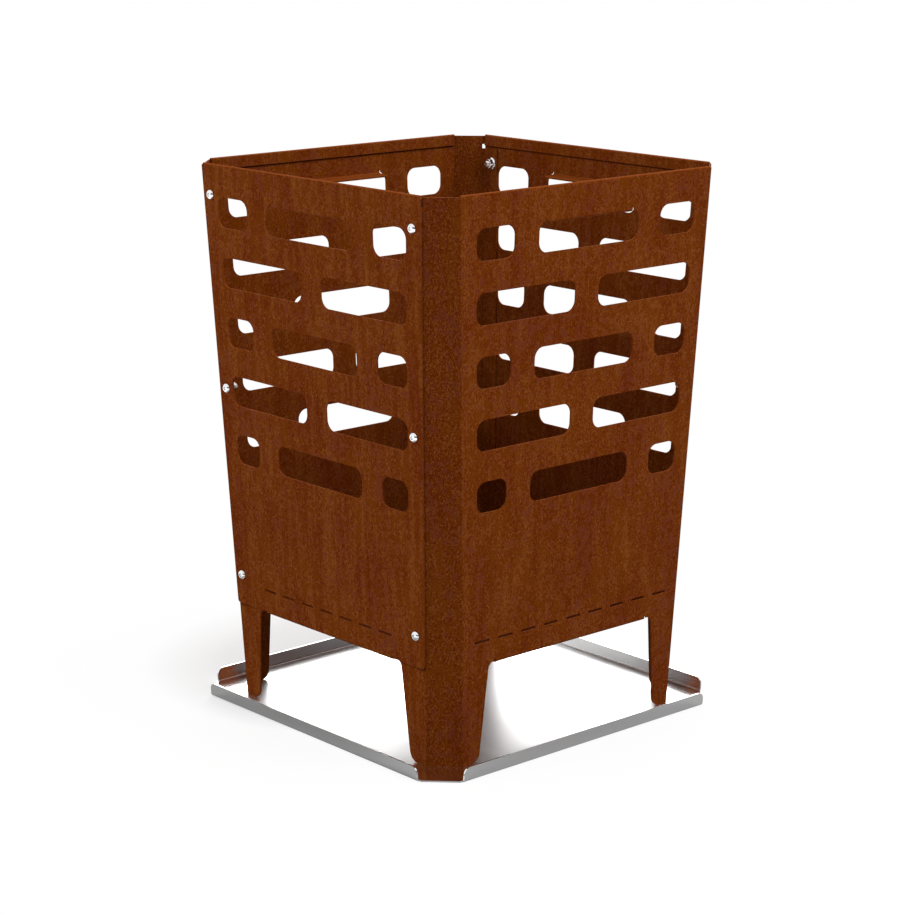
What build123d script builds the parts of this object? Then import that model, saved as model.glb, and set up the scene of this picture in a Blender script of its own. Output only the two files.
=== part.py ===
from build123d import *
import os
from math import sqrt

os.makedirs("parts", exist_ok=True)

# Fire basket: four tapered panels of folded sheet steel, screwed together at the corners,
# on a floor tray, with a loose grate inside. All lengths are in millimetres.
# +Z is up, the tray lies on z = 0, and the basket's middle is on the Z axis.
# Every panel is drawn facing +X, with its width along Y, and then turned into place.

# Overall sizes, over the panels' outer faces
overall_height = 582.5
rim_width = 400.0
foot_width = 350.5

# Sheet metal
sheet = 1.5
tray_sheet = 1.5
bend_radius = 1.5
overrun = 10.0

# Corners of the folded panels: a strip at 45 degrees, then a flange behind the flat panel
corner_cut = 27.6
flange_margin = 2.0
flange_drop = 3.5
flat_overlap = 0.5
flat_corner_radius = 3.5
relief_width = 2.0
relief_height = 5.0
corner_relief_depth = 2.6

# Rim: a hem folded inwards, and plain strips a little lower beside it
hem_height = 12.4
hem_gap = 1.0
hem_end_gap = 1.4
strip_drop = 1.7

# Openings: rows of rounded holes, with a wide middle one in every other row
row_count = 5
top_row_drop = 49.55
row_pitch = 63.0
opening_height = 32.0
opening_radius = 11.0
narrow_opening = 50.3
web_width = 31.6
side_margin = 19.9

# Hand grip: a lip folded inwards at the top edge of the highest wide opening
lip_end_gap = 9.0
lip_depth = 17.0
lip_drop = 2.75
lip_droop = 1.6
lip_corner_radius = 4.0

# Bottom edge: a ledge folded inwards between the legs, which carries the grate
ledge_z = 104.2
ledge_depth = 20.0
ledge_corner_radius = 4.0
skirt_lift = 2.0
fold_relief_rise = 1.0

# Air slots near the bottom edge
slot_rise = 26.2
slot_pitch = 31.6
slot_length = 20.0
slot_height = 3.0
slot_margin = 12.0

# Legs, cut from the folded panels: how far each face reaches in from the corner
leg_width_top = 63.5
leg_width_foot = 49.25
arch_radius = 7.5
arch_land = 0.65
foot_radius = 11.0
tab_clearance = 5.0
tab_height = 41.6
tab_rise = 15.0

# Screws and flanged nuts at the flat panels' upright edges
top_screw_drop = 32.3
bottom_screw_rise = 33.2
screw_inset = 11.7
screw_diameter = 6.0
screw_length = 12.0
screw_hole_clearance = 0.6
head_diameter = 10.5
head_height = 3.3
head_rim = 0.5
head_flat_diameter = 5.6
head_bulge_share = 0.1
socket_width = 4.0
socket_depth = 2.1
nut_width = 10.0
nut_height = 6.0
nut_flange_diameter = 14.2
nut_flange_height = 1.3
nut_bore_clearance = 0.1

# Floor tray
tray_margin = 30.35
tray_edge_height = 15.2
tray_edge_lean = 1.0
tray_corner_cut = 33.0
tray_edge_radius = 7.5

# Grate: a loose plate with slots, which lies on the ledges
grate_sheet = 2.0
grate_clearance = 5.3
grate_corner_cut = 48.0
grate_border = 60.0
grate_slot_length = 46.0
grate_slot_width = 9.0
grate_rib = 14.0
grate_bridge = 16.0

# Values that follow from the sizes above
taper = (rim_width - foot_width) / 2 / (overall_height - tray_sheet)
slope = sqrt(1 + taper ** 2)
wall = sheet * slope
fold_relief = bend_radius + sheet + fold_relief_rise
strip_wall = sheet * sqrt(2 + 4 * taper ** 2)
hem_bottom = overall_height - hem_height
panel_top = overall_height - strip_drop
skirt_z = ledge_z + skirt_lift
slot_z = ledge_z + slot_rise
top_row_z = overall_height - top_row_drop
lip_z = top_row_z + opening_height / 2 - lip_drop
flange_width = screw_inset + nut_flange_diameter / 2 + flange_margin
tray_width = foot_width + 2 * tray_margin


def half_width(z):
    """Half the width over the outer faces at a height."""
    return foot_width / 2 + taper * (z - tray_sheet)


def bend_line(z):
    """Distance from the middle to the bend between a corner strip and its flange."""
    return half_width(z) - corner_cut + wall


# The wide opening takes what the narrow ones of the top row and the webs leave
wide_half = half_width(top_row_z) - corner_cut - side_margin - narrow_opening - web_width
lip_half = wide_half - lip_end_gap

# Distances from the middle: a leg's free edge at its top and foot, and where its arch ends
leg_top = half_width(skirt_z) - leg_width_top
leg_foot = foot_width / 2 - leg_width_foot
leg_slant = (leg_foot - leg_top) / (skirt_z - tray_sheet)
arch_reach = arch_radius * (sqrt(1 + leg_slant ** 2) - leg_slant)
arch_end = leg_top - arch_reach - arch_land


def outline(points, radii):
    """A flat face through points, each corner rounded by its radius."""
    shape = make_face(Polyline(*points, close=True))
    for point, radius in zip(points, radii):
        if radius:
            corner = shape.vertices().sort_by_distance(point)[0]
            shape = fillet(corner, radius)
    return shape


def mirrored(points):
    """An outline's right half, given from the bottom up, with its left half added."""
    return points + [(-across, z) for across, z in reversed(points)]


def seen_along_x(face):
    """A shape drawn as width and height, made as deep as half the basket."""
    return extrude(Plane.YZ * face, amount=rim_width)


def seen_along_y(face, half_length):
    """A section drawn as depth and height, made this long to both sides."""
    return extrude(Plane.XZ * face, amount=half_length, both=True)


# Folded panel: outer block minus inner block

def folded_section(z, layers, back):
    """Half of the square with cut corners, some layers of sheet inside the outer faces."""
    half = half_width(z)
    face = half - layers * wall
    side = half - (layers + 1) * wall
    diagonal = 2 * half - corner_cut - layers * strip_wall
    right_half = [(back, side), (diagonal - side, side), (face, diagonal - face)]
    left_half = [(x, -y) for x, y in reversed(right_half)]
    return [Vector(x, y, z) for x, y in right_half + left_half]


def tapered_block(low, high, radius):
    """A solid between two outlines with matching corners, its bends rounded."""
    faces = [Face(Wire.make_polygon(low)), Face(Wire.make_polygon(high))]
    for start in range(len(low)):
        end = (start + 1) % len(low)
        faces.append(Face(Wire.make_polygon([low[start], low[end], high[end], high[start]])))
    block = Solid(Shell(faces))
    upright = block.edges().filter_by(lambda edge: abs(edge.tangent_at(0).Z) > abs(edge.tangent_at(0).X))
    bends = upright.filter_by(lambda edge: edge.center().X > corner_cut)
    return block.fillet(radius, bends)


def leg_outline():
    """The panel seen from its front: two legs and the space between them."""
    far = rim_width
    points = [
        (leg_top, skirt_z),
        (leg_foot, tray_sheet),
        (far, tray_sheet),
        (far, overall_height + overrun),
    ]
    radii = [arch_radius, foot_radius, 0, 0]
    return outline(mirrored(points), radii + radii[::-1])


def flange_outline():
    """The panel seen from its side: the flanges with their tabs and legs, and the relief cuts."""
    far = rim_width
    tab_top = skirt_z + tab_height
    flange_foot = tab_top + tab_rise
    flange_top = hem_bottom - flange_drop
    relief_top = flange_top + relief_height
    top = overall_height + overrun
    points = [
        (far, tray_sheet),
        (leg_foot, tray_sheet),
        (leg_top, skirt_z),
        (arch_end, skirt_z),
        (arch_end, tab_top),
        (bend_line(flange_foot) - flange_width, flange_foot),
        (bend_line(flange_top) - flange_width, flange_top),
        (bend_line(flange_top) + corner_relief_depth, flange_top),
        (bend_line(relief_top) + corner_relief_depth, relief_top),
        (bend_line(relief_top), relief_top),
        (bend_line(top), top),
        (far, top),
    ]
    radii = [0, foot_radius, arch_radius, 0, arch_radius, arch_radius, bend_radius, 0, 0, 0, 0, 0]
    return outline(points, radii)


def folded_panel():
    """Main face, two corner strips, two flanges and the halves of four legs in one sheet."""
    outer = tapered_block(
        folded_section(tray_sheet, 0, 0), folded_section(panel_top, 0, 0), bend_radius + sheet
    )
    low = tray_sheet - overrun
    high = panel_top + overrun
    inner = tapered_block(
        folded_section(low, 1, -overrun), folded_section(high, 1, -overrun), bend_radius
    )
    panel = outer - inner
    panel = panel & seen_along_x(leg_outline())
    panel = panel & seen_along_y(flange_outline(), rim_width)
    slot_reach = half_width(slot_z) - corner_cut - slot_margin
    hem_half = rim_width / 2 - corner_cut - hem_end_gap
    return with_edges_and_openings(panel, slot_reach, arch_end - relief_width, hem_half)


# Flat panel: one tilted sheet between the corner strips

def flat_panel():
    """A flat sheet that covers the flanges of two folded panels."""
    section = [
        (half_width(skirt_z), skirt_z),
        (half_width(panel_top), panel_top),
        (half_width(panel_top) - wall, panel_top),
        (half_width(skirt_z) - wall, skirt_z),
    ]
    face = [
        (bend_line(skirt_z) + flat_overlap, skirt_z),
        (bend_line(panel_top) + flat_overlap, panel_top),
    ]
    radii = [flat_corner_radius, bend_radius]
    panel = seen_along_y(outline(section, [0] * len(section)), rim_width)
    panel = panel & seen_along_x(outline(mirrored(face), radii + radii[::-1]))
    hem_half = bend_line(overall_height) - hem_end_gap
    return with_edges_and_openings(panel, arch_end, arch_end - tab_clearance, hem_half)


# Openings, slots and folded edges, which both kinds of panel share

def opening_cuts():
    """All openings of a panel: rows that take turns, each with its ends along the corners."""
    cuts = []
    for row in range(row_count):
        middle = top_row_z - row * row_pitch
        low = middle - opening_height / 2
        high = middle + opening_height / 2
        if row % 2 == 0:
            start = wide_half + web_width
            cuts.append(seen_along_x(Pos(0, middle) * RectangleRounded(
                2 * wide_half, opening_height, opening_radius)))
        else:
            start = web_width / 2
        low_end = half_width(low) - corner_cut - side_margin
        high_end = half_width(high) - corner_cut - side_margin
        for side in (-1, 1):
            points = [
                (side * start, low),
                (side * low_end, low),
                (side * high_end, high),
                (side * start, high),
            ]
            cuts.append(seen_along_x(outline(points, [opening_radius] * len(points))))
    return cuts


def slot_cuts(reach):
    """A row of narrow air slots, as many to each side as end within a reach."""
    side_count = int((reach - slot_length / 2) / slot_pitch)
    places = [number * slot_pitch for number in range(-side_count, side_count + 1)]
    return [seen_along_x(Pos(place, slot_z) * SlotOverall(slot_length, slot_height)) for place in places]


def fold(under, depth, droop, half_length, corner_radius):
    """A leaf folded inwards, its end lower by the droop, with the stretch of wall above its bend."""
    join = under + fold_relief
    end = half_width(under) - depth
    points = [
        (half_width(join), join),
        (half_width(under), under),
        (end, under - droop),
        (end, under + sheet - droop),
        (half_width(under + sheet) - wall, under + sheet),
        (half_width(join) - wall, join),
    ]
    radii = [0, bend_radius + sheet, 0, 0, bend_radius, 0]
    leaf = seen_along_y(outline(points, radii), half_length)
    corners = leaf.edges().filter_by(Axis.Z).group_by(Axis.X)[0]
    return fillet(corners, corner_radius)


def hem(half_length):
    """The rim's wall turned over inwards by half a circle, with a gap inside the fold."""
    up = Vector(taper, 1) / slope
    inward = Vector(-1, taper) / slope
    outer_radius = sheet + hem_gap / 2
    inner_radius = hem_gap / 2
    centre_z = overall_height - outer_radius
    start_z = centre_z - outer_radius * taper / slope
    start = Vector(half_width(start_z), start_z)
    centre = start + inward * outer_radius
    down = up * (outer_radius - hem_height)
    foot = Vector(half_width(hem_bottom), hem_bottom)
    inner_foot = Vector(half_width(hem_bottom) - wall, hem_bottom)
    edges = [
        Line(foot, start),
        ThreePointArc(start, centre + up * outer_radius, centre + inward * outer_radius),
        Line(centre + inward * outer_radius, centre + inward * outer_radius + down),
        Line(centre + inward * outer_radius + down, centre + inward * inner_radius + down),
        Line(centre + inward * inner_radius + down, centre + inward * inner_radius),
        ThreePointArc(
            centre + inward * inner_radius, centre + up * inner_radius, centre - inward * inner_radius
        ),
        Line(centre - inward * inner_radius, inner_foot),
        Line(inner_foot, foot),
    ]
    return seen_along_y(make_face(edges), half_length)


def clearing(half_length, low, high):
    """What is cut from the wall where a folded stretch takes its place."""
    middle = (low + high) / 2
    return seen_along_x(Pos(0, middle) * Rectangle(2 * half_length, high - low))


def with_edges_and_openings(panel, slot_reach, ledge_half, hem_half):
    """A panel with its openings, air slots, grip lip, ledge and hem."""
    cuts = opening_cuts() + slot_cuts(slot_reach)
    cuts.append(clearing(lip_half + relief_width, top_row_z, lip_z + fold_relief))
    cuts.append(clearing(ledge_half + relief_width, ledge_z - overrun, ledge_z + fold_relief))
    cuts.append(clearing(hem_half, hem_bottom, overall_height + overrun))
    for cut in cuts:
        panel = panel - cut
    panel = panel + fold(lip_z, lip_depth, lip_droop, lip_half, lip_corner_radius)
    panel = panel + fold(ledge_z, ledge_depth, 0, ledge_half, ledge_corner_radius)
    return panel + hem(hem_half)


# Screws and nuts

def screw_places():
    """A name and a frame for each screw: its origin on the flat panel's outer face, Z outwards."""
    top = overall_height - top_screw_drop
    bottom = skirt_z + bottom_screw_rise
    heights = {"top": top, "middle": (top + bottom) / 2, "bottom": bottom}
    places = {}
    for face, turn in (("front", -90), ("back", 90)):
        for side in (-1, 1):
            hand = "right" if side * turn < 0 else "left"
            for level, z in heights.items():
                across = side * (bend_line(z) - screw_inset)
                spot = Plane(origin=(half_width(z), across, z), z_dir=(1, 0, -taper))
                places[f"{face}_{hand}_{level}"] = Rot(0, 0, turn) * spot.location
    return places


def screw_holes(places):
    """Cylinders that cut the holes through a flat panel and the flange behind it."""
    radius = (screw_diameter + screw_hole_clearance) / 2
    return [place * Cylinder(radius, 2 * overrun) for place in places.values()]


def screw():
    """A dome-headed screw with a hexagon socket."""
    head_radius = head_diameter / 2
    flat_radius = head_flat_diameter / 2
    bulge = head_bulge_share * head_radius
    edge = (head_radius, head_rim)
    crown = (flat_radius, head_height)
    side = [
        Line((0, 0), (head_radius, 0)),
        Line((head_radius, 0), edge),
        SagittaArc(edge, crown, bulge),
        Line(crown, (0, head_height)),
        Line((0, head_height), (0, 0)),
    ]
    head = revolve(Plane.XZ * make_face(side), Axis.Z)
    socket = extrude(RegularPolygon(socket_width / 2, 6, major_radius=False), amount=socket_depth)
    head = head - Pos(0, 0, head_height - socket_depth) * socket
    shank = extrude(Circle(screw_diameter / 2), amount=-screw_length)
    return head + shank


def nut():
    """A hexagon nut with a round flange, seated on the inner face of the flange behind."""
    bore = Circle((screw_diameter + nut_bore_clearance) / 2)
    washer = extrude(Circle(nut_flange_diameter / 2) - bore, amount=-nut_flange_height)
    hexagon = RegularPolygon(nut_width / 2, 6, major_radius=False)
    body = extrude(hexagon - bore, amount=-nut_height)
    return Pos(0, 0, -2 * sheet) * (washer + body)


# Tray and grate

def tray_edge():
    """The tray's edge on the +X side: a strip of floor turned up, leaning a little outwards."""
    half = tray_width / 2
    length = half - tray_corner_cut
    lean_share = tray_edge_lean / tray_edge_height
    edge_wall = tray_sheet * sqrt(1 + lean_share ** 2)
    inner_foot = half - edge_wall + lean_share * tray_sheet
    points = [
        (length, 0),
        (half, 0),
        (half + tray_edge_lean, tray_edge_height),
        (half + tray_edge_lean - edge_wall, tray_edge_height),
        (inner_foot, tray_sheet),
        (length, tray_sheet),
    ]
    radii = [0, bend_radius + tray_sheet, 0, 0, bend_radius, 0]
    strip = seen_along_y(outline(points, radii), length)
    face = mirrored([(length, -overrun), (length, tray_edge_height)])
    return strip & extrude(Plane.YZ * outline(face, [0, tray_edge_radius, tray_edge_radius, 0]),
                           amount=tray_width)


def tray():
    """A square sheet with cut corners and four turned-up edges."""
    floor_half = tray_width / 2 - bend_radius - tray_sheet
    corner = tray_width - tray_corner_cut - floor_half
    points = []
    for turn in range(4):
        for place in ((floor_half, -corner), (floor_half, corner)):
            spot = Vector(*place).rotate(Axis.Z, 90 * turn)
            points.append((spot.X, spot.Y))
    plate = extrude(make_face(Polyline(*points, close=True)), amount=tray_sheet)
    for turn in range(4):
        plate = plate + Rot(0, 0, 90 * turn) * tray_edge()
    return plate


def grate():
    """A loose slotted plate with cut corners, lying on the ledges."""
    bottom = ledge_z + sheet
    half = half_width(bottom) - wall - grate_clearance
    corner = half - grate_corner_cut
    right_half = [(half, corner), (corner, half)]
    points = right_half + [(-x, y) for x, y in reversed(right_half)]
    points = points + [(-x, -y) for x, y in points]
    plate = make_face(Polyline(*points, close=True))
    column_pitch = grate_slot_length + grate_bridge
    row_step = grate_slot_width + grate_rib
    columns = int((2 * (half - grate_border) + grate_bridge) / column_pitch)
    rows = int((2 * (half - grate_border) + grate_rib) / row_step)
    slot = SlotOverall(grate_slot_length, grate_slot_width)
    slots = GridLocations(column_pitch, row_step, columns, rows) * slot
    return Pos(0, 0, bottom) * extrude(plate - slots, amount=grate_sheet)


# Build every piece and write it under its node's name

def main():
    places = screw_places()
    holes = screw_holes(places)
    folded = folded_panel()
    flat = flat_panel()
    panels = {
        "side_panel_right": folded,
        "flat_panel_back": Rot(0, 0, 90) * flat,
        "side_panel_left": Rot(0, 0, 180) * folded,
        "flat_panel_front": Rot(0, 0, -90) * flat,
    }
    pieces = {"ash_tray": tray(), "fire_grate": grate()}
    for name, panel in panels.items():
        for hole in holes:
            panel = panel - hole
        pieces[name] = panel
    one_screw = screw()
    one_nut = nut()
    for name, place in places.items():
        pieces[f"screw_{name}"] = place * one_screw
        pieces[f"nut_{name}"] = place * one_nut
    for name, piece in pieces.items():
        solids = piece.solids()
        size = piece.bounding_box().size
        print(f"{name}: {len(solids)} solid, {size.X:.1f} x {size.Y:.1f} x {size.Z:.1f} mm")
        export_step(piece, os.path.join("parts", f"{name}.step"))


main()
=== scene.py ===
import bpy
import math
from bpy.props import FloatProperty, FloatVectorProperty, IntProperty, PointerProperty
from mathutils import Matrix, Vector


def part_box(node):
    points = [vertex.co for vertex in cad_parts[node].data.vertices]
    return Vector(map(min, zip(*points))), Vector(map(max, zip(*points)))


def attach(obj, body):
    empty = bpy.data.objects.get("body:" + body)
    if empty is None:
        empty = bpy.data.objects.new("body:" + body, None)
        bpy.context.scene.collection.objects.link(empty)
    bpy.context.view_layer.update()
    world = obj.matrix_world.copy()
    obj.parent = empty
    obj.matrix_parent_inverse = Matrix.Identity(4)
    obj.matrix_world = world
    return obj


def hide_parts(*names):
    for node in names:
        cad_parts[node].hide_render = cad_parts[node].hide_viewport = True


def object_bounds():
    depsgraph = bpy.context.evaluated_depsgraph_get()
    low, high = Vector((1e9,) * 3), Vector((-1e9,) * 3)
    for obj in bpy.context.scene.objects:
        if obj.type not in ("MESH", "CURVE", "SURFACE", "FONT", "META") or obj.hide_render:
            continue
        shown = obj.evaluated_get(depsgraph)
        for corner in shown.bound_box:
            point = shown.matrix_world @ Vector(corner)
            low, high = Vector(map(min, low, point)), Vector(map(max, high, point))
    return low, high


bl_info = {
    "name": "Fire Basket",
    "version": (1, 0, 0),
    "blender": (4, 5, 0),
    "location": "3D View > Sidebar > Fire Basket",
    "description": "Gives the packed fire basket its rust, polished tray, screws, nuts and a studio",
    "category": "Object",
}

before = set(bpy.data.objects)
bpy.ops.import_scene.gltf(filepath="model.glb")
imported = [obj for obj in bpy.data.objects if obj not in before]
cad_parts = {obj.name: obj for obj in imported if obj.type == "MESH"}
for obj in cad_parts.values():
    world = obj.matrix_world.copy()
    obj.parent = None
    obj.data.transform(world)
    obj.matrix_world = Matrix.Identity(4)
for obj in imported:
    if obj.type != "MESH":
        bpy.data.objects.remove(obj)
cad_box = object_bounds()

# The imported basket's four panels
PANELS = ("side_panel_right", "side_panel_left", "flat_panel_front", "flat_panel_back")

# The turn from +X to each flat panel in degrees, and its two upright edges
SCREW_FACES = {"front": -90.0, "back": 90.0}
SCREW_SIDES = (-1, 1)

# Sides of the round forms, and the angle in degrees below which an edge is smooth
SCREW_ROUND = 48
NUT_ROUND = 96
THREAD_STEPS = 24
SCREW_SMOOTH = 32.0
NUT_SMOOTH = 28.0


# Sizes and colours that a user may change

class BasketLayout(bpy.types.PropertyGroup):
    """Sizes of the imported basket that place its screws, its nuts and the marks in its rust."""

    height: FloatProperty(
        name="Height", description="Height of the rim above the ground",
        default=cad_box[1].z, unit="LENGTH", precision=4)
    rim_width: FloatProperty(
        name="Rim width", description="Width over the panels' outer faces at the rim",
        default=0.400, unit="LENGTH", precision=4)
    foot_width: FloatProperty(
        name="Foot width", description="Width over the panels' outer faces at the feet",
        default=0.3505, unit="LENGTH", precision=4)
    sheet: FloatProperty(
        name="Sheet", description="Thickness of the panels and of the tray",
        default=0.0015, unit="LENGTH", precision=4)
    corner_cut: FloatProperty(
        name="Corner cut", description="How far a corner strip cuts into each face",
        default=0.0276, unit="LENGTH", precision=4)
    screw_inset: FloatProperty(
        name="Screw inset", description="From a flange's bend to the middle of its screws",
        default=0.0117, unit="LENGTH", precision=4)
    top_screw: FloatProperty(
        name="Top screws", description="Height of the highest screws", default=0.5502,
        unit="LENGTH", precision=4)
    bottom_screw: FloatProperty(
        name="Bottom screws", description="Height of the lowest screws", default=0.1394,
        unit="LENGTH", precision=4)
    skirt: FloatProperty(
        name="Skirt", description="Height of a flat panel's lower edge", default=0.1062,
        unit="LENGTH", precision=4)
    skirt_corner: FloatProperty(
        name="Skirt corner", description="Radius of a flat panel's lower corners", default=0.0035,
        unit="LENGTH", precision=4)
    hem: FloatProperty(
        name="Hem", description="Height of the hem that is folded inwards at the rim", default=0.0124,
        unit="LENGTH", precision=4)
    lip_height: FloatProperty(
        name="Lip height", description="Height above which a level face is a lip or the rim",
        default=0.542, unit="LENGTH", precision=4)


class ScrewSizes(bpy.types.PropertyGroup):
    """Sizes of one dome-headed screw."""

    head_diameter: FloatProperty(
        name="Head diameter", description="Widest diameter of the dome", default=0.0105,
        unit="LENGTH", precision=4)
    head_height: FloatProperty(
        name="Head height", description="Height of the dome", default=0.0033, unit="LENGTH", precision=4)
    head_rim: FloatProperty(
        name="Head rim", description="Height of the straight edge under the dome",
        default=0.0005, unit="LENGTH", precision=4)
    crown_diameter: FloatProperty(
        name="Crown diameter", description="Diameter of the flat on top of the dome",
        default=0.0056, unit="LENGTH", precision=4)
    dome_bulge: FloatProperty(
        name="Dome bulge", description="How far the dome stands out from a straight cone",
        default=0.000525, unit="LENGTH", precision=6)
    dome_steps: IntProperty(
        name="Dome steps", description="Rings in the dome", default=7, min=2, max=24)
    socket_width: FloatProperty(
        name="Socket width", description="Width across the flats of the hexagon socket",
        default=0.004, unit="LENGTH", precision=4)
    socket_depth: FloatProperty(
        name="Socket depth", description="Depth of the socket's straight walls",
        default=0.0021, unit="LENGTH", precision=4)
    thread_diameter: FloatProperty(
        name="Thread diameter", description="Diameter over the thread", default=0.006,
        unit="LENGTH", precision=4)
    thread_depth: FloatProperty(
        name="Thread depth", description="Depth of the thread's groove", default=0.00054,
        unit="LENGTH", precision=6)
    thread_pitch: FloatProperty(
        name="Thread pitch", description="From one turn of the thread to the next",
        default=0.001, unit="LENGTH", precision=4)
    length: FloatProperty(
        name="Length", description="Length under the head", default=0.012, unit="LENGTH", precision=4)


class NutSizes(bpy.types.PropertyGroup):
    """Sizes of one hexagon nut with a round flange."""

    width: FloatProperty(
        name="Width", description="Width across the flats", default=0.010, unit="LENGTH", precision=4)
    height: FloatProperty(
        name="Height", description="Height with the flange", default=0.006, unit="LENGTH", precision=4)
    flange_diameter: FloatProperty(
        name="Flange diameter", description="Diameter of the round flange", default=0.0142,
        unit="LENGTH", precision=4)
    flange_height: FloatProperty(
        name="Flange height", description="Thickness of the flange at its edge",
        default=0.0013, unit="LENGTH", precision=4)
    bore_diameter: FloatProperty(
        name="Bore diameter", description="Diameter of the hole that takes the screw",
        default=0.0061, unit="LENGTH", precision=4)
    corner_drop: FloatProperty(
        name="Corner drop", description="How far the corners of the hexagon are turned down",
        default=0.0006, unit="LENGTH", precision=4)


class RustColours(bpy.types.PropertyGroup):
    """Colours and grain of the rusted steel."""

    dark: FloatVectorProperty(
        name="Dark", description="Darkest brown of the rust", subtype="COLOR",
        default=(0.1010, 0.0145, 0.0008))
    middle: FloatVectorProperty(
        name="Middle", description="Main brown of the rust", subtype="COLOR",
        default=(0.1420, 0.0272, 0.0031))
    light: FloatVectorProperty(
        name="Light", description="Tan of the streaks", subtype="COLOR",
        default=(0.1850, 0.0520, 0.0085))
    speck: FloatVectorProperty(
        name="Speck", description="Pale orange of single grains", subtype="COLOR",
        default=(0.2400, 0.0980, 0.0270))
    # The orange of cut edges, also laid on as a painted highlight on the lip tops and the rim's crest
    edge: FloatVectorProperty(
        name="Edge", description="Orange of cut edges and of the rim", subtype="COLOR",
        default=(0.2150, 0.0500, 0.0075))
    plum: FloatVectorProperty(
        name="Plum", description="Cooler brown of some patches", subtype="COLOR",
        default=(0.1250, 0.0238, 0.0095))
    ochre: FloatVectorProperty(
        name="Ochre", description="Yellower brown of other patches", subtype="COLOR",
        default=(0.1470, 0.0345, 0.0017))
    # Colour of the painted shade beside a flat panel's edge and of the painted shadow under the hems
    seam: FloatVectorProperty(
        name="Seam", description="Dark dirt beside a flat panel's edge and under the hems",
        subtype="COLOR", default=(0.0520, 0.0100, 0.0016))
    scorched: FloatVectorProperty(
        name="Scorched", description="Brown of the grate", subtype="COLOR",
        default=(0.1050, 0.0230, 0.0042))
    streak_width: FloatProperty(
        name="Streak width", description="Width of the upright streaks", default=0.020,
        unit="LENGTH", precision=4)
    grain_size: FloatProperty(
        name="Grain size", description="Size of the fine grain", default=0.0021,
        unit="LENGTH", precision=4)


class SteelColours(bpy.types.PropertyGroup):
    """Colours of the bright steel."""

    tray: FloatVectorProperty(
        name="Tray", description="Polished steel of the tray", subtype="COLOR",
        default=(0.96, 0.96, 0.962))
    fastener: FloatVectorProperty(
        name="Screws and nuts", description="Bright steel of the screws and nuts", subtype="COLOR",
        default=(0.93, 0.93, 0.94))


class StudioSettings(bpy.types.PropertyGroup):
    """The camera, the lamps and the floor."""

    camera_place: FloatVectorProperty(
        name="Camera place", description="Where the camera stands", subtype="XYZ", unit="LENGTH",
        default=(1.90451, -1.68978, 0.89013))
    camera_aim: FloatVectorProperty(
        name="Camera aim", description="The point in the middle of the picture",
        subtype="XYZ", unit="LENGTH", default=(0.00155, -0.00026, 0.26631))
    lens: FloatProperty(
        name="Lens", description="Focal length of the camera in millimetres", default=96.33,
        unit="CAMERA")
    sky: FloatProperty(
        name="Sky", description="Strength of the even light from all sides", default=0.62)
    right_lamp: FloatProperty(
        name="Right lamp", description="Power in watts of the lamp that faces the right panel",
        default=91.0, unit="POWER")
    left_lamp: FloatProperty(
        name="Left lamp", description="Power in watts of the lamp that faces the front panel",
        default=57.0, unit="POWER")
    back_lamp: FloatProperty(
        name="Back lamp", description="Power in watts of the lamp behind the basket, which mirrors show",
        default=58.0, unit="POWER")


# Modelling

def only(piece):
    """Selects one piece alone and makes it active."""
    bpy.ops.object.select_all(action="DESELECT")
    piece.select_set(True)
    bpy.context.view_layer.objects.active = piece


def new_piece(name, add, **sizes):
    """A piece that starts as a primitive, with its place already in its mesh."""
    bpy.ops.object.select_all(action="DESELECT")
    add(**sizes)
    piece = bpy.context.active_object
    piece.name = name
    piece.data.name = name
    bpy.ops.object.transform_apply(location=True, rotation=True, scale=True)
    return piece


def pull_cap(rise, widen):
    """Extrudes the selected cap along Z and widens or narrows it about the Z axis."""
    bpy.ops.mesh.extrude_region_move(TRANSFORM_OT_translate={"value": (0, 0, rise)})
    bpy.ops.transform.resize(value=(widen, widen, 1), center_override=(0, 0, 0))


def turned_rod(name, sides, outline):
    """A closed round or many-sided rod about Z, through radius and height pairs from the bottom up."""
    radius, height = outline[0]
    rod = new_piece(
        name, bpy.ops.mesh.primitive_circle_add, vertices=sides, radius=radius, fill_type="NGON",
        location=(0, 0, height))
    bpy.ops.object.mode_set(mode="EDIT")
    bpy.ops.mesh.select_all(action="SELECT")
    for next_radius, next_height in outline[1:]:
        pull_cap(next_height - height, next_radius / radius)
        radius, height = next_radius, next_height
    bpy.ops.mesh.select_all(action="SELECT")
    bpy.ops.mesh.normals_make_consistent(inside=False)
    bpy.ops.object.mode_set(mode="OBJECT")
    return rod


def combine(piece, other, operation):
    """Unites two closed pieces, cuts the second from the first, or keeps what they share."""
    only(piece)
    bpy.ops.object.modifier_add(type="BOOLEAN")
    modifier = piece.modifiers[-1]
    modifier.operation = operation
    modifier.object = other
    modifier.solver = "EXACT"
    bpy.ops.object.modifier_apply(modifier=modifier.name)
    bpy.data.meshes.remove(other.data)


def round_edges(piece, width, smooth_angle):
    """Rounds the sharp edges of a piece and smooths the rest."""
    only(piece)
    bpy.ops.object.modifier_add(type="BEVEL")
    modifier = piece.modifiers[-1]
    modifier.width = width
    modifier.segments = 2
    modifier.limit_method = "ANGLE"
    modifier.angle_limit = smooth_angle
    bpy.ops.object.modifier_apply(modifier=modifier.name)
    bpy.ops.object.shade_smooth_by_angle(angle=smooth_angle)


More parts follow.
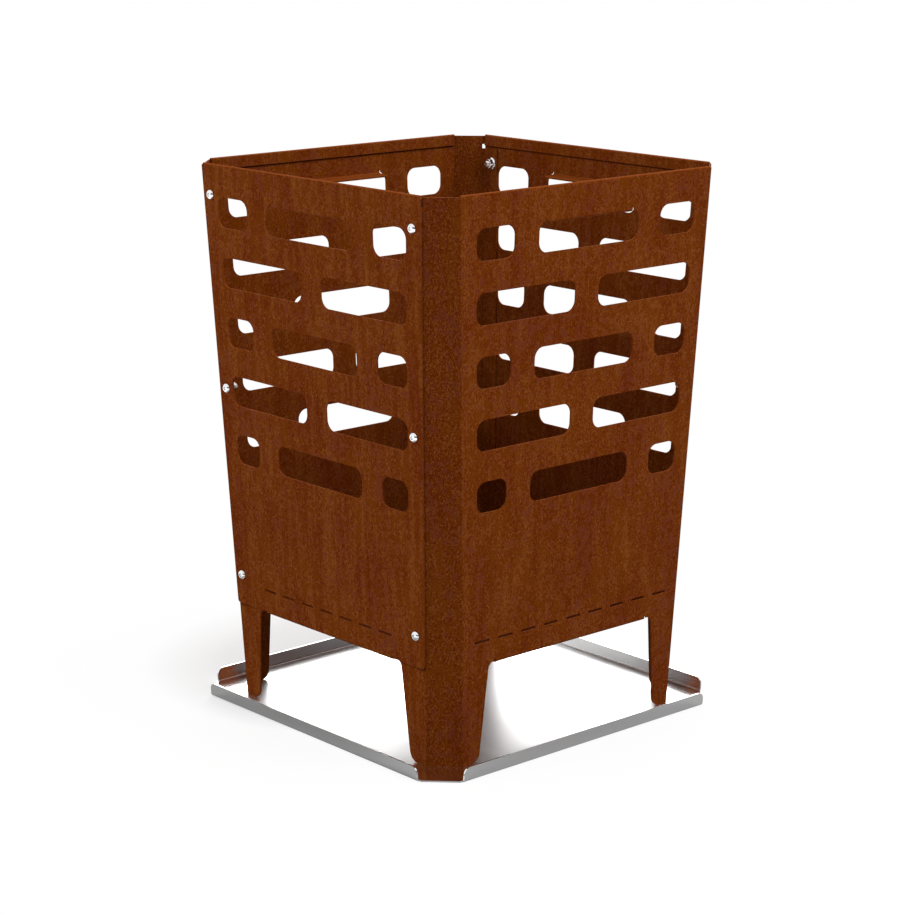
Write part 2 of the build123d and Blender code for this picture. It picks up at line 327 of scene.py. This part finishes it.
def dome_outline(sizes):
    """Radius and height pairs of a screw's head, from its base to its crown."""
    low = Vector((sizes.head_diameter / 2, sizes.head_rim))
    high = Vector((sizes.crown_diameter / 2, sizes.head_height))
    chord = high - low
    outward = Vector((chord.y, -chord.x)).normalized()
    bulge = sizes.dome_bulge
    radius = (chord.length ** 2 / 4 + bulge ** 2) / (2 * bulge)
    centre = (low + high) / 2 + outward * (bulge - radius)
    start = math.atan2(low.y - centre.y, low.x - centre.x)
    end = math.atan2(high.y - centre.y, high.x - centre.x)
    outline = [(low.x, 0.0)]
    for step in range(sizes.dome_steps + 1):
        angle = start + (end - start) * step / sizes.dome_steps
        outline.append((centre.x + radius * math.cos(angle), centre.y + radius * math.sin(angle)))
    return outline


def threaded_shank(sizes):
    """The thread under a screw's head, a little longer upwards, where the head takes it in."""
    radius = sizes.thread_diameter / 2
    depth = sizes.thread_depth
    pitch = sizes.thread_pitch
    spare = pitch * 2
    start = (radius - depth, 0, -sizes.length - spare)
    shank = new_piece("shank", bpy.ops.mesh.primitive_plane_add, size=pitch, location=start)
    bpy.ops.object.mode_set(mode="EDIT")
    bpy.ops.mesh.select_mode(type="VERT")
    bpy.ops.mesh.select_all(action="SELECT")
    bpy.ops.mesh.merge(type="CENTER")
    for outwards, share in ((depth, 0.32), (0, 0.14), (-depth, 0.32), (0, 0.22)):
        step = (outwards, 0, share * pitch)
        bpy.ops.mesh.extrude_vertices_move(TRANSFORM_OT_translate={"value": step})
    bpy.ops.object.mode_set(mode="OBJECT")
    only(shank)
    bpy.ops.object.modifier_add(type="SCREW")
    modifier = shank.modifiers[-1]
    modifier.axis = "Z"
    modifier.angle = 2 * math.pi
    modifier.screw_offset = pitch
    modifier.iterations = math.ceil((sizes.length + 2 * spare) / pitch)
    modifier.steps = modifier.render_steps = THREAD_STEPS
    bpy.ops.object.modifier_apply(modifier=modifier.name)
    bpy.ops.object.mode_set(mode="EDIT")
    bpy.ops.mesh.select_all(action="SELECT")
    bpy.ops.mesh.remove_doubles(threshold=pitch / 200)
    bpy.ops.mesh.fill_holes(sides=0)
    bpy.ops.mesh.select_all(action="SELECT")
    bpy.ops.mesh.normals_make_consistent(inside=False)
    bpy.ops.object.mode_set(mode="OBJECT")
    outer = radius + depth
    limits = turned_rod("limits", SCREW_ROUND, [
        (radius - depth * 1.2, -sizes.length),
        (outer, -sizes.length + depth * 2.2),
        (outer, sizes.head_rim / 2),
    ])
    combine(shank, limits, "INTERSECT")
    return shank


def dome_screw(sizes):
    """One screw, its seat on z = 0 and its head upwards."""
    screw = turned_rod("dome_screw", SCREW_ROUND, dome_outline(sizes))
    corner = sizes.socket_width / math.sqrt(3)
    floor = sizes.head_height - sizes.socket_depth
    socket = turned_rod("socket", 6, [
        (corner * 0.12, floor - corner * 0.25),
        (corner, floor),
        (corner, sizes.head_height * 1.1),
    ])
    combine(screw, socket, "DIFFERENCE")
    round_edges(screw, sizes.head_rim * 0.22, math.radians(SCREW_SMOOTH))
    combine(screw, threaded_shank(sizes), "UNION")
    only(screw)
    bpy.ops.object.shade_smooth_by_angle(angle=math.radians(SCREW_SMOOTH))
    return screw


def flange_nut(sizes, seat):
    """One nut below its seat, with its bore on the Z axis."""
    far = seat - sizes.height
    corner = sizes.width / math.sqrt(3)
    nut = turned_rod("flange_nut", 6, [(corner, far), (corner, seat - sizes.flange_height / 2)])
    drop = sizes.corner_drop
    limits = turned_rod("limits", NUT_ROUND, [
        (corner - drop * 1.7, far),
        (corner * 1.01, far + drop),
        (corner * 1.01, seat),
    ])
    combine(nut, limits, "INTERSECT")
    flange_radius = sizes.flange_diameter / 2
    flange = turned_rod("flange", NUT_ROUND, [
        (sizes.width / 2 * 0.97, seat - sizes.flange_height * 1.35),
        (flange_radius * 0.93, seat - sizes.flange_height * 0.82),
        (flange_radius * 0.99, seat - sizes.flange_height * 0.55),
        (flange_radius, seat - sizes.flange_height * 0.25),
        (flange_radius * 0.985, seat),
    ])
    combine(nut, flange, "UNION")
    bore_radius = sizes.bore_diameter / 2
    bore = turned_rod("bore", SCREW_ROUND, [
        (bore_radius * 1.16, far - drop),
        (bore_radius * 1.12, far),
        (bore_radius, far + bore_radius * 0.12),
        (bore_radius, seat + drop),
    ])
    combine(nut, bore, "DIFFERENCE")
    round_edges(nut, drop * 0.16, math.radians(NUT_SMOOTH))
    return nut


def screw_places(layout):
    """A name and a matrix for each screw: its seat on the flat panel's outer face, Z outwards."""
    taper = (layout.rim_width - layout.foot_width) / 2 / (layout.height - layout.sheet)
    slope = math.hypot(1, taper)
    top, bottom = layout.top_screw, layout.bottom_screw
    levels = {"top": top, "middle": (top + bottom) / 2, "bottom": bottom}
    places = {}
    for face, turn in SCREW_FACES.items():
        for side in SCREW_SIDES:
            hand = "right" if side * turn < 0 else "left"
            for level, height in levels.items():
                half = layout.foot_width / 2 + taper * (height - layout.sheet)
                bend = half - layout.corner_cut + layout.sheet * slope
                seat = Matrix((
                    (taper / slope, 0, 1 / slope, half),
                    (0, -1, 0, side * (bend - layout.screw_inset)),
                    (1 / slope, 0, -taper / slope, height),
                    (0, 0, 0, 1),
                ))
                places[f"{face}_{hand}_{level}"] = Matrix.Rotation(math.radians(turn), 4, "Z") @ seat
    return places


def set_in_basket(original, kind, node_kind, layout, material):
    """A copy of a screw or nut at each place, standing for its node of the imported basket."""
    for place, matrix in screw_places(layout).items():
        piece = original.copy()
        piece.data = original.data.copy()
        piece.name = piece.data.name = f"{kind}_{place}"
        bpy.context.scene.collection.objects.link(piece)
        piece.data.transform(matrix)
        piece.data.materials.clear()
        piece.data.materials.append(material)
        node = f"{node_kind}_{place}"
        low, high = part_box(node)
        points = [vertex.co for vertex in piece.data.vertices]
        outside = max(max(*(low - point), *(point - high)) for point in points)
        if outside > layout.sheet / 5:
            raise RuntimeError(f"{piece.name} stands {outside * 1000:.2f} mm out of {node}")
        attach(piece, "basket")
        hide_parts(node)
    bpy.data.meshes.remove(original.data)


# Materials

class Term:
    """A number that varies over a surface. Sums on it add Math nodes."""

    def __init__(self, finish, socket):
        self.finish = finish
        self.socket = socket

    def maths(self, operation, *numbers):
        node = self.finish.node("ShaderNodeMath", {"operation": operation}, dict(enumerate(numbers)))
        return Term(self.finish, node.outputs[0])

    def __add__(self, other):
        return self.maths("ADD", self, other)

    def __sub__(self, other):
        return self.maths("SUBTRACT", self, other)

    def __rsub__(self, other):
        return self.maths("SUBTRACT", other, self)

    def __mul__(self, other):
        return self.maths("MULTIPLY", self, other)

    def __abs__(self):
        return self.maths("ABSOLUTE", self)

    def __gt__(self, other):
        return self.maths("GREATER_THAN", self, other)

    def __lt__(self, other):
        return self.maths("LESS_THAN", self, other)

    __radd__ = __add__
    __rmul__ = __mul__

    def or_more(self, other):
        """The larger of this number and another."""
        return self.maths("MAXIMUM", self, other)

    def root(self):
        """The square root of this number."""
        return self.maths("SQRT", self)

    def between(self, low, high):
        """0 up to low, 1 from high, and an even rise from one to the other."""
        rise = self.finish.node("ShaderNodeMapRange", {}, {0: self, 1: low, 2: high, 3: 0.0, 4: 1.0})
        return Term(self.finish, rise.outputs[0])


class Finish:
    """The nodes of a material or of the world."""

    def __init__(self, owner):
        self.owner = owner
        owner.use_nodes = True
        self.tree = owner.node_tree
        self.tree.nodes.clear()

    def node(self, kind, settings=None, inputs=None):
        """A node with its settings, and then the values or links of its sockets."""
        node = self.tree.nodes.new(kind)
        for name, value in (settings or {}).items():
            if name == "stops":
                self.set_stops(node.color_ramp, value)
            else:
                setattr(node, name, value)
        for name, value in (inputs or {}).items():
            socket = node.inputs[name]
            if isinstance(value, Term):
                self.tree.links.new(value.socket, socket)
            elif isinstance(value, bpy.types.NodeSocket):
                self.tree.links.new(value, socket)
            else:
                socket.default_value = value
        return node

    def set_stops(self, ramp, stops):
        """Gives a colour ramp its stops."""
        while len(ramp.elements) < len(stops):
            ramp.elements.new(0.5)
        for element, (position, colour) in zip(ramp.elements, stops):
            element.position = position
            element.color = (*colour, 1.0)

    def parts(self, socket):
        """The X, Y and Z of a vector."""
        split = self.node("ShaderNodeSeparateXYZ", {}, {0: socket})
        return [Term(self, output) for output in split.outputs]

    def clouds(self, place, lump, detail, shift=0.0):
        """Cloudy noise about 0, with lumps of this size in metres along X, Y and Z."""
        stretched = self.node("ShaderNodeMapping", {}, {
            "Vector": place, "Location": (shift, shift, shift), "Scale": [1 / size for size in lump]})
        noise = self.node("ShaderNodeTexNoise", {}, {
            "Vector": stretched.outputs[0], "Scale": 1.0, "Detail": detail, "Roughness": 0.6})
        return Term(self, noise.outputs[0]) - 0.5

    def blend(self, mask, base, over):
        """One colour laid over another where a mask says so."""
        mixed = self.node("ShaderNodeMix", {"data_type": "RGBA"}, {0: mask, 6: base, 7: over})
        return mixed.outputs[2]


def flat(colour):
    """A property's colour as a socket takes it."""
    return (*colour, 1.0)


def rusted_steel(name, colours, layout, scorch):
    """Bare steel under an even coat of rust, with upright streaks, orange cut edges, painted highlights
    on the lip tops and the rim, and painted shade in the seams and under the hems.
    """
    finish = Finish(bpy.data.materials.new(name))
    place = finish.node("ShaderNodeTexCoord")
    spot = place.outputs["Object"]
    width = colours.streak_width
    grain_size = colours.grain_size
    streaks = finish.clouds(spot, (width, width, width * 6), 2.0)
    runs = finish.clouds(spot, (width / 2.6, width / 2.6, width * 4), 3.0, shift=7.0)
    patches = finish.clouds(spot, (width * 2, width * 2, width * 5), 2.0, shift=23.0)
    mottling = finish.clouds(spot, (width / 2.5, width / 2.5, width / 2), 2.0, shift=3.0)
    grain = finish.clouds(spot, (grain_size, grain_size, grain_size * 1.4), 2.0, shift=11.0)
    fine = finish.clouds(spot, (grain_size / 2, grain_size / 2, grain_size / 2), 1.0, shift=5.0)
    hue = finish.clouds(spot, (grain_size * 3, grain_size * 3, grain_size * 3), 3.0, shift=17.0)
    x, y, z = finish.parts(spot)
    facing_x, facing_y, facing_z = finish.parts(place.outputs["Normal"])
    on_x_side = abs(x) > abs(y)
    facing = abs(facing_x) * on_x_side + abs(facing_y) * (1 - on_x_side)
    corner_strip = abs(facing_x) * abs(facing_y) > 0.3
    sheet = layout.sheet

    # How deep a point lies behind the panels' outer faces, which marks the cut edges
    taper = (layout.rim_width - layout.foot_width) / 2 / (layout.height - sheet)
    face = layout.foot_width / 2 - taper * sheet + z * taper
    depth = face - abs(x).or_more(abs(y))
    in_sheet = depth < sheet * 1.2
    level = (abs(facing_z) > 0.75) * in_sheet
    # Painted highlights on the lip tops and the rim's crest, which face up to the light
    lip = (facing_z > 0.5) * (z > layout.lip_height)
    upright = (facing < 0.5) * in_sheet * 0.35
    crest_highlight = (z > layout.height - sheet * 0.6) * (abs(facing_z) > 0.5) * 0.25

    # Painted shade in the gap beside the flat panels' upright edges, stronger near the rim, and a
    # painted contact shadow around their rounded lower corners
    corner = layout.skirt_corner
    seam_start = layout.corner_cut - sheet * 1.33
    sideways = (abs(x) - face + seam_start + corner).or_more(0)
    downwards = (layout.skirt + corner - z).or_more(0)
    past_seam = (sideways * sideways + downwards * downwards).root() - corner
    below = (z < layout.skirt + corner * 0.7) * (sideways < corner)
    near_corner = (abs(x) - face + layout.corner_cut).between(-0.025, -0.004)
    near_rim = z > layout.height - sheet * 7
    faded = (past_seam - below * 0.0020).between(0.0003, 0.0012)
    seam = (1 - on_x_side) * (past_seam > 0) * (1 - faded)
    seam = seam * (0.28 + near_rim * 0.5 + below * near_corner * 0.5)

    # Painted shadow on the inner faces, right under the hem
    hem_end = layout.height - layout.hem
    at_hem_end = (z < hem_end) * (z > hem_end - sheet * 1.25)
    under_hem_shadow = (depth > sheet * 0.8) * at_hem_end * (facing > 0.9)

    # The coat of rust: its shade, then patches of cooler and yellower brown, then grains
    shade = (
        0.5 + streaks * 1.3 + runs * (2.4 - on_x_side * 1.1) + mottling * 1.8
        + hue * 1.9 + grain * 2.8 + fine * 2.3)
    strip_shade = fine * 2.9 + grain * 2.0 + mottling * 0.5 - 0.20 - streaks * 0.8 - runs * 1.2
    rust = finish.node("ShaderNodeValToRGB", {"stops": [
        (0.0, colours.dark), (0.5, colours.middle), (1.0, colours.light)]}, {
        0: shade + corner_strip * strip_shade}).outputs[0]
    tint = hue * 1.2 + mottling * 0.8 + runs * 0.4 + patches * 0.7
    rust = finish.blend(tint.between(0.05, 0.24) * 0.75, rust, flat(colours.plum))
    rust = finish.blend((0 - tint).between(0.02, 0.24) * 0.7, rust, flat(colours.ochre))
    specks = (fine + grain * 0.6).between(0.16, 0.30) * 0.4
    rust = finish.blend(specks, rust, flat(colours.speck))
    # The cut edges' own orange, and a painted highlight where level faces look up to the light
    edges_and_highlights = level.or_more(lip).or_more(upright).or_more(crest_highlight) * (0.8 + grain * 1.5)
    rust = finish.blend(edges_and_highlights, rust, flat(colours.edge))
    # Painted shade beside the flat panels' edges and painted shadow under the hems
    rust = finish.blend(seam.or_more(under_hem_shadow * 0.85), rust, flat(colours.seam))
    if scorch:
        rust = finish.blend(0.78 + mottling * 0.8, rust, flat(colours.scorched))
    relief = grain * 0.6 + fine * 0.5 + mottling * 0.3
    pits = finish.node("ShaderNodeBump", {}, {
        "Strength": 0.35, "Distance": grain_size / 12, "Height": relief})
    shader = finish.node("ShaderNodeBsdfPrincipled", {}, {
        "Base Color": rust, "Roughness": 0.84 + grain * 0.3, "Specular IOR Level": 0.03,
        "Normal": pits.outputs[0]})
    finish.node("ShaderNodeOutputMaterial", {}, {"Surface": shader.outputs[0]})
    return finish.owner


def polished_steel(name, colours):
    """Rolled stainless sheet, polished to a satin mirror, duller away from the tray's corners."""
    finish = Finish(bpy.data.materials.new(name))
    spot = finish.node("ShaderNodeTexCoord").outputs["Object"]
    lines = finish.clouds(spot, (0.12, 0.0006, 0.0006), 2.0)
    smears = finish.clouds(spot, (0.06, 0.045, 0.03), 3.0, shift=4.0)
    duller = flat([part * 0.97 for part in colours.tray])
    colour = finish.blend(0.5 + smears * 1.5, flat(colours.tray), duller)
    x, y = finish.parts(spot)[:2]
    facing_z = finish.parts(finish.node("ShaderNodeTexCoord").outputs["Normal"])[2]
    dulled = (facing_z > 0.7) * (1 - (abs(x) + abs(y)).between(0.300, 0.340))
    roughness = 0.19 + dulled * 0.16 + smears * 0.10 + lines * 0.08
    polish = finish.node("ShaderNodeBump", {}, {
        "Strength": 0.12, "Distance": 0.00002, "Height": lines})
    shader = finish.node("ShaderNodeBsdfPrincipled", {}, {
        "Base Color": colour, "Metallic": 1.0, "Roughness": roughness, "Normal": polish.outputs[0]})
    finish.node("ShaderNodeOutputMaterial", {}, {"Surface": shader.outputs[0]})
    return finish.owner


def fastener_steel(name, colours):
    """Bright stainless steel of small pressed and rolled parts."""
    finish = Finish(bpy.data.materials.new(name))
    spot = finish.node("ShaderNodeTexCoord").outputs["Object"]
    scuffs = finish.clouds(spot, (0.0012, 0.0012, 0.0012), 3.0)
    dulling = finish.clouds(spot, (0.004, 0.004, 0.004), 2.0, shift=6.0)
    colour = finish.blend(
        0.5 + dulling * 2.0, flat(colours.fastener), flat([part * 0.86 for part in colours.fastener]))
    marks = finish.node("ShaderNodeBump", {}, {
        "Strength": 0.15, "Distance": 0.00004, "Height": scuffs})
    shader = finish.node("ShaderNodeBsdfPrincipled", {}, {
        "Base Color": colour, "Metallic": 1.0, "Roughness": 0.13 + scuffs * 0.18,
        "Normal": marks.outputs[0]})
    finish.node("ShaderNodeOutputMaterial", {}, {"Surface": shader.outputs[0]})
    return finish.owner


def give(node, material):
    """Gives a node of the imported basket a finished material."""
    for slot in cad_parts[node].material_slots:
        slot.material = material


# Studio

def studio_floor():
    """A plain pale floor: white to the camera with a faint shadow, and pale grey to what it lights.

    Mirrors see a painted shadow on it near the basket, and white farther away.
    """
    floor = new_piece(
        "studio_floor", bpy.ops.mesh.primitive_circle_add, vertices=96, radius=5.0,
        fill_type="NGON", location=(0, 0, -0.0003))
    bpy.ops.object.mode_set(mode="EDIT")
    bpy.ops.mesh.select_all(action="SELECT")
    bpy.ops.mesh.inset(thickness=0.5)
    bpy.ops.object.mode_set(mode="OBJECT")
    finish = Finish(bpy.data.materials.new("pale_floor"))
    path = finish.node("ShaderNodeLightPath")
    seen = Term(finish, path.outputs["Is Camera Ray"])
    mirrored = Term(finish, path.outputs["Is Glossy Ray"])
    spot = finish.node("ShaderNodeTexCoord").outputs["Object"]
    dust = finish.clouds(spot, (0.4, 0.4, 0.4), 2.0)
    grey = finish.blend(0.5 + dust, (0.40, 0.40, 0.40, 1.0), (0.43, 0.43, 0.43, 1.0))

    # The shadow shows around a spot beside the middle, faintly beyond it, and not at all far away
    x, y = finish.parts(spot)[:2]
    off_spot = x + 0.16
    beside = (off_spot * off_spot + y * y).between(0.16 ** 2, 0.25 ** 2)
    away = (x * x + y * y).between(0.40 ** 2, 0.60 ** 2)
    # Painted shadow that only mirrors see: the floor is darker to them near the basket
    grey = finish.blend(mirrored, grey, (0.32, 0.32, 0.32, 1.0))
    grey = finish.blend(mirrored * away, grey, (0.97, 0.97, 0.97, 1.0))
    white = 0.15 + beside * 0.75 + away * 0.10
    paint = finish.blend(seen, grey, (0.86, 0.86, 0.86, 1.0))
    matt = finish.node("ShaderNodeBsdfDiffuse", {}, {"Color": paint})
    glow = finish.node("ShaderNodeEmission", {}, {"Color": (1.0, 1.0, 1.0, 1.0), "Strength": 1.0})
    both = finish.node("ShaderNodeMixShader", {}, {
        0: seen * white, 1: matt.outputs[0], 2: glow.outputs[0]})
    finish.node("ShaderNodeOutputMaterial", {}, {"Surface": both.outputs[0]})
    floor.data.materials.append(finish.owner)


def studio_sky(strength):
    """White to the camera, to mirrors and to glass, and an even light to the rest.

    Mirrors also show the studio's dark side, low behind the camera and to its right.
    """
    world = bpy.data.worlds.new("studio_sky")
    bpy.context.scene.world = world
    finish = Finish(world)
    path = finish.node("ShaderNodeLightPath")
    mirrored = Term(finish, path.outputs["Is Glossy Ray"])
    seen = Term(finish, path.outputs["Is Camera Ray"])
    seen = seen.or_more(mirrored).or_more(Term(finish, path.outputs["Is Transmission Ray"]))
    x, y, z = finish.parts(finish.node("ShaderNodeTexCoord").outputs["Generated"])
    dark_side = math.radians(-10)
    dark = (x * math.cos(dark_side) + y * math.sin(dark_side)).between(0.25, 0.55)
    dark = dark * (1 - z.between(0.35, 0.60)) * mirrored
    sky = finish.node("ShaderNodeBackground", {}, {
        "Color": (1.0, 1.0, 1.0, 1.0), "Strength": strength + seen * (1 - strength) - dark * 0.9})
    finish.node("ShaderNodeOutputWorld", {}, {"Surface": sky.outputs[0]})


def aimed(place, target):
    """The turn of a lamp or camera that looks from a place to a target."""
    return (Vector(target) - Vector(place)).to_track_quat("-Z", "Y").to_euler()


def soft_lamp(name, azimuth, elevation, distance, target, size, power, mirrored=False):
    """A large square lamp at an azimuth and elevation in degrees."""
    around = math.radians(azimuth)
    up = math.radians(elevation)
    place = Vector(target) + distance * Vector((
        math.cos(up) * math.cos(around), math.cos(up) * math.sin(around), math.sin(up)))
    bpy.ops.object.select_all(action="DESELECT")
    bpy.ops.object.light_add(type="AREA", location=place, rotation=aimed(place, target))
    lamp = bpy.context.active_object
    lamp.name = name
    lamp.data.shape = "SQUARE"
    lamp.data.size = size
    lamp.data.energy = power
    lamp.visible_camera = False
    lamp.visible_glossy = mirrored


# Operators

class FIREBASKET_OT_rust_panels(bpy.types.Operator):
    """Give the four panels their rust"""

    bl_idname = "fire_basket.rust_panels"
    bl_label = "Rust the Panels"

    def execute(self, context):
        scene = context.scene
        rust = rusted_steel("panel_rust", scene.basket_rust, scene.basket_layout, False)
        for node in PANELS:
            give(node, rust)
        return {"FINISHED"}


class FIREBASKET_OT_scorch_grate(bpy.types.Operator):
    """Give the grate its own, slightly darker rust"""

    bl_idname = "fire_basket.scorch_grate"
    bl_label = "Scorch the Grate"

    def execute(self, context):
        scene = context.scene
        give("fire_grate", rusted_steel("grate_rust", scene.basket_rust, scene.basket_layout, True))
        return {"FINISHED"}


class FIREBASKET_OT_polish_tray(bpy.types.Operator):
    """Give the tray its mirror polish"""

    bl_idname = "fire_basket.polish_tray"
    bl_label = "Polish the Tray"

    def execute(self, context):
        give("ash_tray", polished_steel("tray_polish", context.scene.basket_steel))
        return {"FINISHED"}


class FIREBASKET_OT_add_screws(bpy.types.Operator):
    """Model one dome-headed screw and set twelve of it in the flat panels"""

    bl_idname = "fire_basket.add_screws"
    bl_label = "Add the Screws"

    def execute(self, context):
        scene = context.scene
        material = fastener_steel("screw_steel", scene.basket_steel)
        screw = dome_screw(scene.basket_screw)
        set_in_basket(screw, "dome_screw", "screw", scene.basket_layout, material)
        return {"FINISHED"}


class FIREBASKET_OT_add_nuts(bpy.types.Operator):
    """Model one flanged nut and set twelve of it behind the flanges"""

    bl_idname = "fire_basket.add_nuts"
    bl_label = "Add the Nuts"

    def execute(self, context):
        scene = context.scene
        material = fastener_steel("nut_steel", scene.basket_steel)
        nut = flange_nut(scene.basket_nut, -2 * scene.basket_layout.sheet)
        set_in_basket(nut, "flange_nut", "nut", scene.basket_layout, material)
        return {"FINISHED"}


class FIREBASKET_OT_build_studio(bpy.types.Operator):
    """Set up the floor, the sky, the lamps and the camera"""

    bl_idname = "fire_basket.build_studio"
    bl_label = "Build the Studio"

    def execute(self, context):
        settings = context.scene.basket_studio
        studio_floor()
        studio_sky(settings.sky)
        middle = (0.0, 0.0, 0.3)
        soft_lamp("right_lamp", 22.0, 49.0, 3.6, middle, 2.1, settings.right_lamp)
        soft_lamp("left_lamp", -118.0, 22.0, 3.6, middle, 2.1, settings.left_lamp)
        soft_lamp("back_lamp", 135.0, 22.0, 3.0, middle, 2.0, settings.back_lamp, mirrored=True)
        place = settings.camera_place
        bpy.ops.object.select_all(action="DESELECT")
        bpy.ops.object.camera_add(location=place, rotation=aimed(place, settings.camera_aim))
        camera = context.active_object
        camera.name = "studio_camera"
        camera.data.sensor_width = 36.0
        camera.data.lens = settings.lens
        context.scene.camera = camera
        context.scene.view_settings.view_transform = "Standard"
        return {"FINISHED"}


class FIREBASKET_PT_tools(bpy.types.Panel):
    """Lists the steps that finish the fire basket"""

    bl_idname = "FIREBASKET_PT_tools"
    bl_label = "Fire Basket"
    bl_space_type = "VIEW_3D"
    bl_region_type = "UI"
    bl_category = "Fire Basket"

    def draw(self, context):
        for operator in OPERATORS:
            self.layout.operator(operator.bl_idname)


GROUPS = {
    "basket_layout": BasketLayout,
    "basket_screw": ScrewSizes,
    "basket_nut": NutSizes,
    "basket_rust": RustColours,
    "basket_steel": SteelColours,
    "basket_studio": StudioSettings,
}
OPERATORS = (
    FIREBASKET_OT_rust_panels,
    FIREBASKET_OT_scorch_grate,
    FIREBASKET_OT_polish_tray,
    FIREBASKET_OT_add_screws,
    FIREBASKET_OT_add_nuts,
    FIREBASKET_OT_build_studio,
)


def register():
    for kind in (*GROUPS.values(), *OPERATORS, FIREBASKET_PT_tools):
        bpy.utils.register_class(kind)
    for name, kind in GROUPS.items():
        setattr(bpy.types.Scene, name, PointerProperty(type=kind))


def unregister():
    for name in GROUPS:
        delattr(bpy.types.Scene, name)
    for kind in reversed((*GROUPS.values(), *OPERATORS, FIREBASKET_PT_tools)):
        bpy.utils.unregister_class(kind)


def main():
    register()
    bpy.ops.fire_basket.rust_panels()
    bpy.ops.fire_basket.scorch_grate()
    bpy.ops.fire_basket.polish_tray()
    bpy.ops.fire_basket.add_screws()
    bpy.ops.fire_basket.add_nuts()
    bpy.ops.fire_basket.build_studio()


if __name__ == "__main__":
    main()
